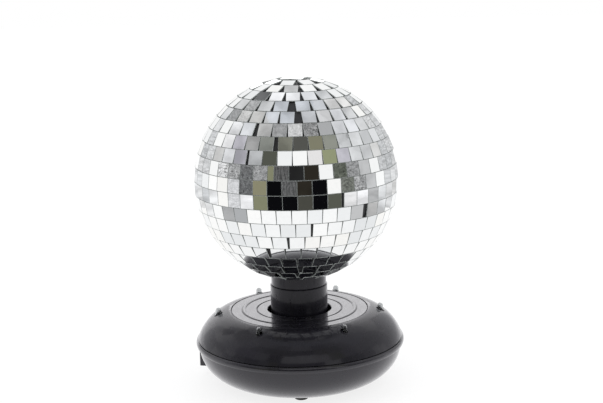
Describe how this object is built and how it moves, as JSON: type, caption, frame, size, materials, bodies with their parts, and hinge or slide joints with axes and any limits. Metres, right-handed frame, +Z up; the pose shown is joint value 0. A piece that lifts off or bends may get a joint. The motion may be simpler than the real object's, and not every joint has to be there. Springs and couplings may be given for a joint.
{
  "type": "rotating mirror ball",
  "caption": "Table-top mirror ball: a tiled ball on a turning neck, driven by a battery gear motor in a round black base with small upward lamps.",
  "frame": {"origin": "on the spin axis at table level, under the rubber feet", "axes": "+Z up along the spin axis, -Y towards the front, +X to the right"},
  "size_m": [0.1566, 0.1566, 0.229],
  "materials": {
    "black_gloss": "polished black moulding",
    "black_plastic": "fine matt texture",
    "core_black": "satin black",
    "mirror_tile": "back-silvered glass, cut edges",
    "foot_rubber": "soft matt",
    "lamp_clear": "clear moulded lens",
    "screw_steel": "zinc plated",
    "shaft_steel": "ground steel",
    "bush_bronze": "sintered bronze",
    "motor_metal": "nickel plated can",
    "gear_white": "natural acetal",
    "gearbox_plastic": "moulded grey",
    "contact_metal": "nickel plated spring sheet",
    "cell_jacket": "printed film jacket, plain",
    "board_green": "solder resist",
    "lead_sleeve": "insulation",
    "rocker_plastic": "moulded black"
  },
  "bodies": {
    "base": {"lower_shell": "black_gloss", "upper_shell": "black_gloss", "top_plate": "black_gloss", "case_screws": "screw_steel", "rubber_feet": "foot_rubber", "battery_box": "black_plastic", "battery_contacts": "contact_metal", "circuit_board": "board_green", "leads": "lead_sleeve", "lamp_board": "board_green", "switch_body": "black_plastic", "gear_plate_lower": "gearbox_plastic", "gear_plate_upper": "gearbox_plastic", "gear_pins": "shaft_steel", "gearbox_screws": "screw_steel", "shaft_bushes": "bush_bronze", "motor_can": "motor_metal", "motor_end_cap": "black_plastic", "cell_1": "cell_jacket", "cell_2": "cell_jacket", "cell_3": "cell_jacket", "lamp_1": "lamp_clear", "lamp_2": "lamp_clear", "lamp_3": "lamp_clear", "lamp_4": "lamp_clear", "lamp_5": "lamp_clear", "lamp_6": "lamp_clear"},
    "ball": {"output_gear": "gear_white", "output_shaft": "shaft_steel", "neck_column": "black_gloss", "ball_collar": "black_gloss", "ball_screws": "screw_steel", "core_lower": "core_black", "core_upper": "core_black", "mirror_row_01": "mirror_tile", "mirror_row_02": "mirror_tile", "mirror_row_03": "mirror_tile", "mirror_row_04": "mirror_tile", "mirror_row_05": "mirror_tile", "mirror_row_06": "mirror_tile", "mirror_row_07": "mirror_tile", "mirror_row_08": "mirror_tile", "mirror_row_09": "mirror_tile", "mirror_row_10": "mirror_tile", "mirror_row_11": "mirror_tile", "mirror_row_12": "mirror_tile", "mirror_row_13": "mirror_tile", "mirror_row_14": "mirror_tile", "mirror_row_15": "mirror_tile", "mirror_row_16": "mirror_tile", "mirror_row_17": "mirror_tile", "mirror_row_18": "mirror_tile", "mirror_row_19": "mirror_tile", "mirror_row_20": "mirror_tile"},
    "second_gear_body": {"second_gear": "gear_white"},
    "first_gear_body": {"first_gear": "gear_white"},
    "motor_rotor": {"motor_shaft": "shaft_steel", "motor_pinion": "gear_white"},
    "switch_rocker_body": {"switch_rocker": "rocker_plastic"},
    "battery_door_body": {"battery_door": "black_plastic"}
  },
  "joints": [
    {"name": "ball_spin", "type": "hinge", "parent": "base", "child": "ball", "pos_m": [0, 0, 0.03], "axis": [0, 0, 1], "continuous": true},
    {"name": "second_gear_spin", "type": "hinge", "parent": "base", "child": "second_gear_body", "pos_m": [-0.01819, 0.0105, 0.026], "axis": [0, 0, 1], "continuous": true},
    {"name": "first_gear_spin", "type": "hinge", "parent": "base", "child": "first_gear_body", "pos_m": [-0.02079, 0.02527, 0.029], "axis": [0, 0, 1], "continuous": true},
    {"name": "motor_spin", "type": "hinge", "parent": "base", "child": "motor_rotor", "pos_m": [-0.0093, 0.03491, 0.033], "axis": [0, 0, 1], "continuous": true},
    {"name": "switch_rock", "type": "hinge", "parent": "base", "child": "switch_rocker_body", "pos_m": [-0.07219, 0.018, 0.018], "axis": [-0.2419, -0.9703, 0], "range_deg": [0, 12]},
    {"name": "battery_door_pull", "type": "slide", "parent": "base", "child": "battery_door_body", "axis": [0, 0, -1], "range_m": [0, 0.03]}
  ],
  "couplings": [
    {"joint": "second_gear_spin", "follows": "ball_spin", "ratio": -6},
    {"joint": "first_gear_spin", "follows": "ball_spin", "ratio": 30},
    {"joint": "motor_spin", "follows": "ball_spin", "ratio": -150}
  ]
}
